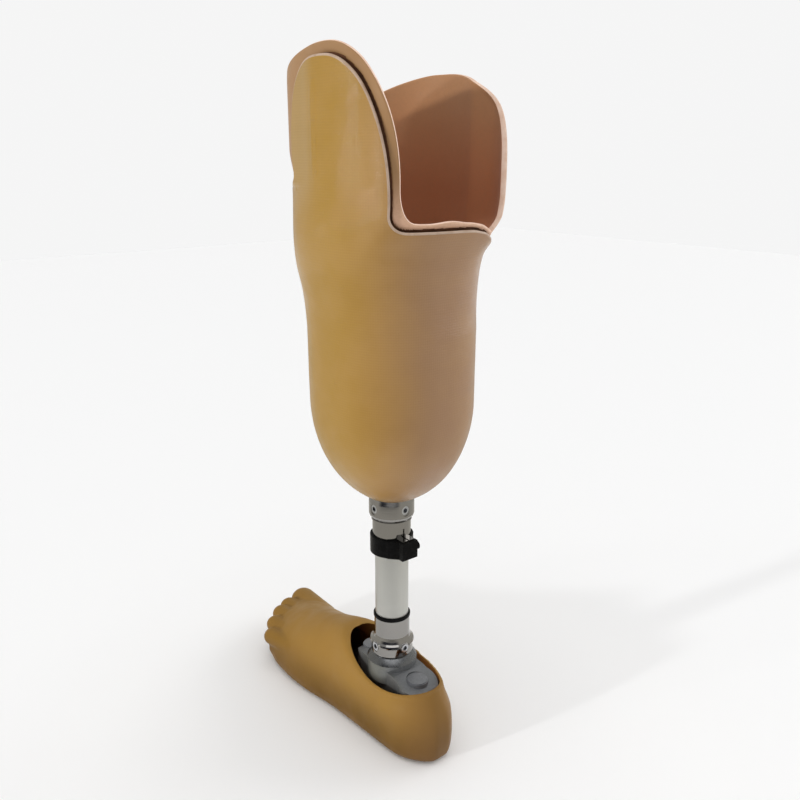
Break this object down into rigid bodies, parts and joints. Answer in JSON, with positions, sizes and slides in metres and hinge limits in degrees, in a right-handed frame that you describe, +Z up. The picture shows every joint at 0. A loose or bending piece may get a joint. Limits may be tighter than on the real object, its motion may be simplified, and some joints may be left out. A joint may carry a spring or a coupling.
{
  "type": "below-knee prosthetic leg",
  "caption": "Modular below-knee prosthesis: soft liner in a laminated socket with high wings, clamped pylon tube and pyramid adapters, spring foot in a toed foot shell.",
  "frame": {"origin": "on the floor, at the middle of the flat sole, straight under the pylon's axis", "axes": "+Z up along the pylon, +Y forwards to the toes, +X medial (towards the other leg)"},
  "size_m": [0.147, 0.3115, 0.5965],
  "materials": {
    "liner_foam": "soft closed-cell foam with a matt skin",
    "gel": "soft gel pad",
    "laminate": "skin-coloured resin laminate over knitted stockinette",
    "steel": "machined",
    "polished": "polished adapter",
    "screws": "bright set screws",
    "black_clamp": "black coated band",
    "tube": "satin anodised",
    "seal": "black rubber",
    "cast_grey": "grey cast adapter",
    "dark_steel": "dark steel",
    "carbon": "carbon laminate",
    "foot_skin": "soft skin-coloured foot shell"
  },
  "bodies": {
    "foot": {"foot_shell": "foot_skin", "foot_adapter": "cast_grey", "adapter_pad": "seal", "adapter_bolts": "dark_steel", "adapter_bolt_caps": "cast_grey", "forefoot_spring": "carbon", "heel_spring": "carbon", "spring_bolts": "dark_steel", "heel_cushion": "seal", "ankle_pyramid": "dark_steel", "pyramid_bolt": "dark_steel"},
    "pylon": {"pylon_tube": "tube", "tube_seal_ring": "seal", "ankle_receiver": "polished", "ankle_fore_aft_set_screws": "screws"},
    "medial_screw": {"ankle_medial_set_screw": "screws"},
    "lateral_screw": {"ankle_lateral_set_screw": "screws"},
    "clamp": {"tube_clamp": "polished", "clamp_band": "black_clamp", "socket_side_set_screws": "screws"},
    "clamp_bolt": {"clamp_screw": "black_clamp"},
    "front_screw": {"socket_front_set_screw": "screws"},
    "rear_screw": {"socket_rear_set_screw": "screws"},
    "socket": {"socket_shell": "laminate", "socket_anchor": "steel", "socket_pyramid": "steel", "anchor_screws": "dark_steel"},
    "liner": {"soft_liner": "liner_foam", "distal_end_pad": "gel"}
  },
  "joints": [
    {"name": "ankle_tilt", "type": "hinge", "parent": "foot", "child": "pylon", "pos_m": [0, 0, 0.0593], "axis": [0, 1, 0], "range_deg": [-7, 7]},
    {"name": "medial_screw_travel", "type": "slide", "parent": "pylon", "child": "medial_screw", "axis": [-1, 0, 0], "range_m": [-0.0041, 0.0041]},
    {"name": "lateral_screw_travel", "type": "slide", "parent": "pylon", "child": "lateral_screw", "axis": [-1, 0, 0], "range_m": [-0.0041, 0.0041]},
    {"name": "clamp_turn", "type": "hinge", "parent": "pylon", "child": "clamp", "pos_m": [0, 0, 0.2], "axis": [0, 0, 1], "continuous": true},
    {"name": "clamp_screw_turn", "type": "hinge", "parent": "clamp", "child": "clamp_bolt", "pos_m": [0, -0.0212, 0.1913], "axis": [1, 0, 0], "continuous": true},
    {"name": "socket_tilt", "type": "hinge", "parent": "clamp", "child": "socket", "pos_m": [0, 0, 0.2577], "axis": [1, 0, 0], "range_deg": [-7, 7]},
    {"name": "front_screw_travel", "type": "slide", "parent": "clamp", "child": "front_screw", "axis": [0, 1, 0], "range_m": [-0.0041, 0.0041]},
    {"name": "rear_screw_travel", "type": "slide", "parent": "clamp", "child": "rear_screw", "axis": [0, 1, 0], "range_m": [-0.0041, 0.0041]},
    {"name": "liner_lift", "type": "slide", "parent": "socket", "child": "liner", "axis": [0, 0, 1], "range_m": [0, 0.35]}
  ],
  "couplings": [
    {"joint": "medial_screw_travel", "follows": "ankle_tilt", "m_per_rad": 0.0328},
    {"joint": "lateral_screw_travel", "follows": "ankle_tilt", "m_per_rad": 0.0328},
    {"joint": "front_screw_travel", "follows": "socket_tilt", "m_per_rad": 0.0328},
    {"joint": "rear_screw_travel", "follows": "socket_tilt", "m_per_rad": 0.0328}
  ]
}
